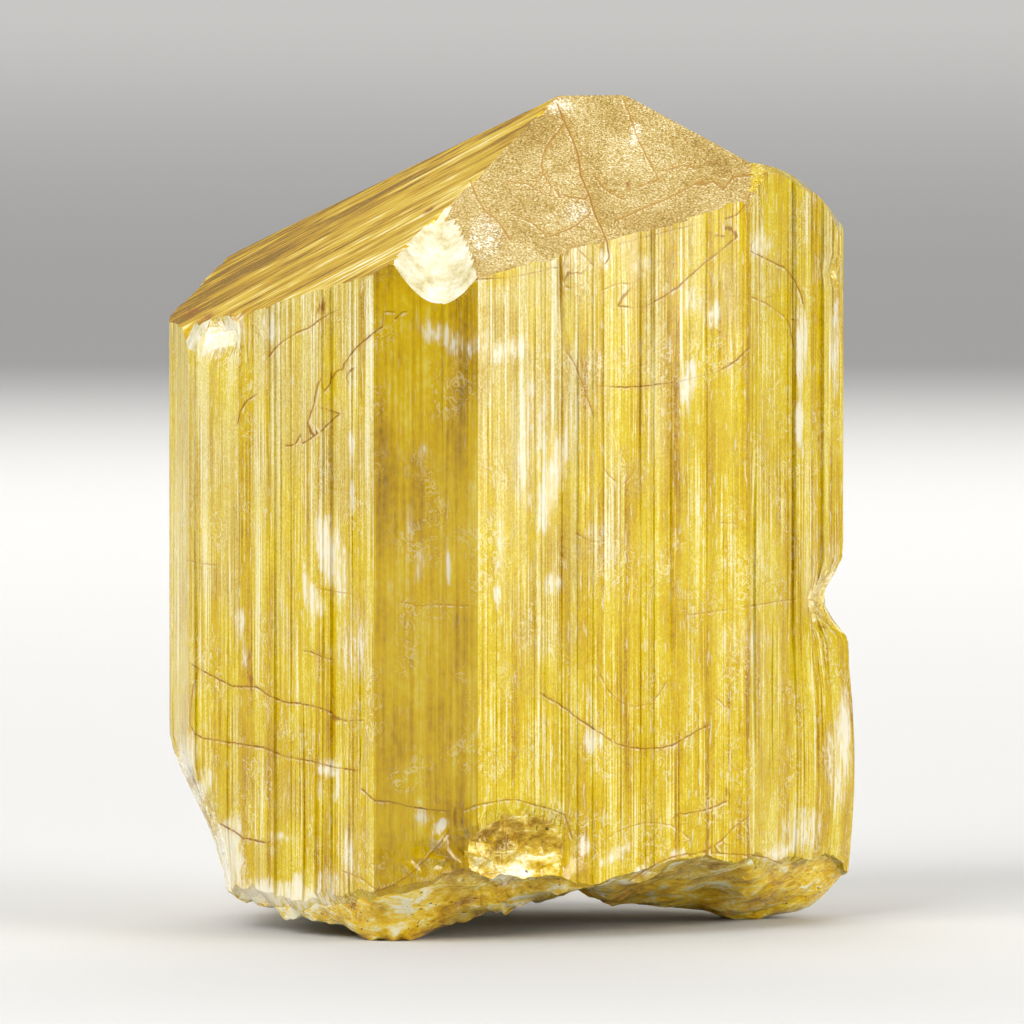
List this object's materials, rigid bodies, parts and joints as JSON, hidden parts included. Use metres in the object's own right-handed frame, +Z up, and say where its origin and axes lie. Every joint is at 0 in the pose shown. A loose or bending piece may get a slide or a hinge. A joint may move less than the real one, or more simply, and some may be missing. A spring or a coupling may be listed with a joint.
{
  "type": "marialite crystal",
  "caption": "Free-standing golden marialite crystal: a stout striated prism under a low pyramid, broken off below into rough lobes with an arch between them.",
  "frame": {"origin": "on the ground under the middle of the crystal's box", "axes": "+Z up along the crystal's length, +X to the right and +Y away from the viewer in the picture's view"},
  "size_m": [0.0332, 0.0292, 0.0401],
  "materials": {
    "crystal": "natural see-through golden crystal with vertical growth striations, a frosted pyramid face and a rough broken base"
  },
  "bodies": {
    "root": {"crystal": "crystal"}
  },
  "joints": []
}
